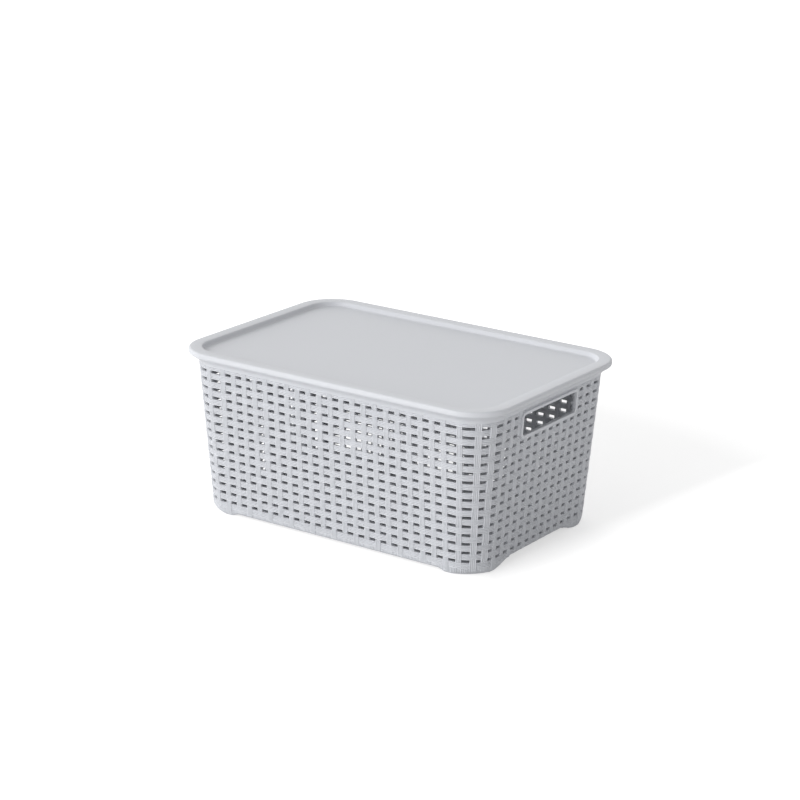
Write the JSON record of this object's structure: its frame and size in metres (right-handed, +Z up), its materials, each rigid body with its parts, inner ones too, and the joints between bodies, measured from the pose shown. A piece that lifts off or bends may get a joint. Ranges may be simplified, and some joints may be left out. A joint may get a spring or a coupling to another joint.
{
  "type": "lidded storage box",
  "caption": "Rectangular plastic storage box moulded to look like woven rattan, with tapered open-weave walls, framed hand holes, corner feet and a flat lift-off lid.",
  "frame": {"origin": "on the ground under the middle of the box", "axes": "+X along the long sides, +Y towards the long side away from the camera, +Z up, out of the lid"},
  "size_m": [0.3714, 0.2554, 0.17],
  "materials": {
    "basket_plastic": "satin, pale cool grey, moulded with fine cane ribs",
    "lid_plastic": "satin, pale cool grey, smooth"
  },
  "bodies": {
    "basket": {"basket": "basket_plastic"},
    "lid": {"lid": "lid_plastic"}
  },
  "joints": [
    {"name": "lid_lift", "type": "slide", "parent": "basket", "child": "lid", "axis": [0, 0, 1], "range_m": [0, 0.15]}
  ]
}
